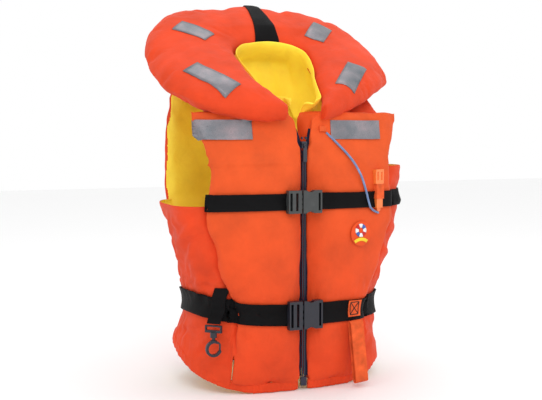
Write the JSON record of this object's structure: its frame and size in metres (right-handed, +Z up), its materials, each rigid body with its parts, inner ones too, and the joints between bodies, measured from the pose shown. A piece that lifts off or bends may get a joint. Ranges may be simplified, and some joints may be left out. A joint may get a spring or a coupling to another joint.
{
  "type": "foam life jacket",
  "caption": "Sleeveless foam life jacket with front zip, chest and waist belts with side-release buckles, shawl collar, whistle on a cord, snap hook and lifting loop.",
  "frame": {"origin": "centre of the bounding box on the plane the hem stands on", "axes": "+Z up towards the collar, -Y out of the zipped front, +X towards the wearer's left"},
  "size_m": [0.4801, 0.3277, 0.7127],
  "materials": {
    "orange_cloth": "tightly woven nylon, matt",
    "lining_cloth": "light woven nylon, satin",
    "foam": "soft closed-cell foam",
    "hem_tape": "stitched woven binding",
    "webbing": "woven webbing",
    "orange_webbing": "woven webbing",
    "zip_tape": "woven zip tape",
    "zip_teeth": "moulded teeth",
    "zip_metal": "painted",
    "reflective": "retroreflective tape",
    "grey_plastic": "moulded, satin",
    "dark_plastic": "moulded, satin",
    "whistle_plastic": "moulded, glossy",
    "cord": "braided polyester",
    "badge": "embroidered"
  },
  "bodies": {
    "jacket": {"back_cover": "orange_cloth", "back_foam": "foam", "badge_patch": "badge", "chest_belt_left": "webbing", "chest_belt_right": "webbing", "chest_buckle_female": "grey_plastic", "chest_buckle_male": "grey_plastic", "collar_cover_back": "orange_cloth", "collar_cover_left": "orange_cloth", "collar_cover_right": "orange_cloth", "collar_foam_back": "foam", "collar_foam_left": "foam", "collar_foam_right": "foam", "collar_strap": "webbing", "cord_anchor": "orange_webbing", "front_cover_left": "orange_cloth", "front_cover_right": "orange_cloth", "front_foam_left": "foam", "front_foam_right": "foam", "hem_band_back": "hem_tape", "hem_band_left": "hem_tape", "hem_band_right": "hem_tape", "hook_tab": "webbing", "lining_back": "lining_cloth", "lining_front_left": "lining_cloth", "lining_front_right": "lining_cloth", "loop_anchor": "orange_webbing", "neck_lining": "lining_cloth", "reflectors_chest": "reflective", "reflectors_collar_front": "reflective", "reflectors_collar_upper": "reflective", "shoulder_yoke_left": "orange_cloth", "shoulder_yoke_right": "orange_cloth", "side_gusset_left": "orange_cloth", "side_gusset_right": "orange_cloth", "waist_belt_left": "webbing", "waist_belt_right": "webbing", "waist_buckle_female": "dark_plastic", "waist_buckle_male": "dark_plastic", "whistle_cord": "cord", "whistle_holder": "orange_webbing", "zip_box": "zip_teeth", "zip_chain_left": "zip_teeth", "zip_chain_right": "zip_teeth", "zip_tape_left": "zip_tape", "zip_tape_right": "zip_tape", "zip_top_stops": "zip_teeth"},
    "slider": {"zip_slider": "zip_metal"},
    "pull": {"zip_pull": "zip_metal"},
    "chest_latch_upper": {"chest_buckle_arm_upper": "grey_plastic"},
    "chest_latch_lower": {"chest_buckle_arm_lower": "grey_plastic"},
    "waist_latch_upper": {"waist_buckle_arm_upper": "dark_plastic"},
    "waist_latch_lower": {"waist_buckle_arm_lower": "dark_plastic"},
    "eye": {"hook_eye": "dark_plastic"},
    "snap": {"hook_body": "dark_plastic"},
    "gate": {"hook_gate": "dark_plastic"},
    "loop": {"lifting_loop": "orange_webbing"},
    "whistle": {"whistle": "whistle_plastic"}
  },
  "joints": [
    {"name": "zip_slide", "type": "slide", "parent": "jacket", "child": "slider", "axis": [0, 0, -1], "range_m": [0, 0.39]},
    {"name": "pull_swing", "type": "hinge", "parent": "slider", "child": "pull", "pos_m": [0, -0.1322, 0.441], "axis": [-1, 0, 0], "range_deg": [0, 150]},
    {"name": "chest_latch_upper_flex", "type": "hinge", "parent": "jacket", "child": "chest_latch_upper", "pos_m": [-0.0186, -0.15577, 0.3512], "axis": [0, 1, 0], "range_deg": [0, 8], "stiffness_Nm_per_rad": 0.08},
    {"name": "chest_latch_lower_flex", "type": "hinge", "parent": "jacket", "child": "chest_latch_lower", "pos_m": [-0.0186, -0.15577, 0.3328], "axis": [0, -1, 0], "range_deg": [0, 8], "stiffness_Nm_per_rad": 0.08},
    {"name": "waist_latch_upper_flex", "type": "hinge", "parent": "jacket", "child": "waist_latch_upper", "pos_m": [-0.0146, -0.15125, 0.1538], "axis": [0, 1, 0], "range_deg": [0, 8], "stiffness_Nm_per_rad": 0.08},
    {"name": "waist_latch_lower_flex", "type": "hinge", "parent": "jacket", "child": "waist_latch_lower", "pos_m": [-0.0146, -0.15125, 0.1282], "axis": [0, -1, 0], "range_deg": [0, 8], "stiffness_Nm_per_rad": 0.08},
    {"name": "hook_swing", "type": "hinge", "parent": "jacket", "child": "eye", "pos_m": [-0.166, -0.113, 0.129], "axis": [-0.7314, 0.682, 0], "range_deg": [0, 60]},
    {"name": "hook_swivel", "type": "hinge", "parent": "eye", "child": "snap", "pos_m": [-0.166, -0.113, 0.103], "axis": [0, 0, 1], "continuous": true},
    {"name": "gate_open", "type": "hinge", "parent": "snap", "child": "gate", "pos_m": [-0.1545, -0.113, 0.0795], "axis": [0, -1, 0], "range_deg": [0, 35], "stiffness_Nm_per_rad": 0.01},
    {"name": "loop_swing", "type": "hinge", "parent": "jacket", "child": "loop", "pos_m": [0.09237, -0.1525, 0.11752], "axis": [-0.9945, 0, -0.1045], "range_deg": [0, 80]},
    {"name": "whistle_slide", "type": "slide", "parent": "jacket", "child": "whistle", "axis": [0, 0, 1], "range_m": [0, 0.075]}
  ],
  "couplings": [
    {"joint": "chest_latch_lower_flex", "follows": "chest_latch_upper_flex", "ratio": 1},
    {"joint": "waist_latch_lower_flex", "follows": "waist_latch_upper_flex", "ratio": 1}
  ]
}
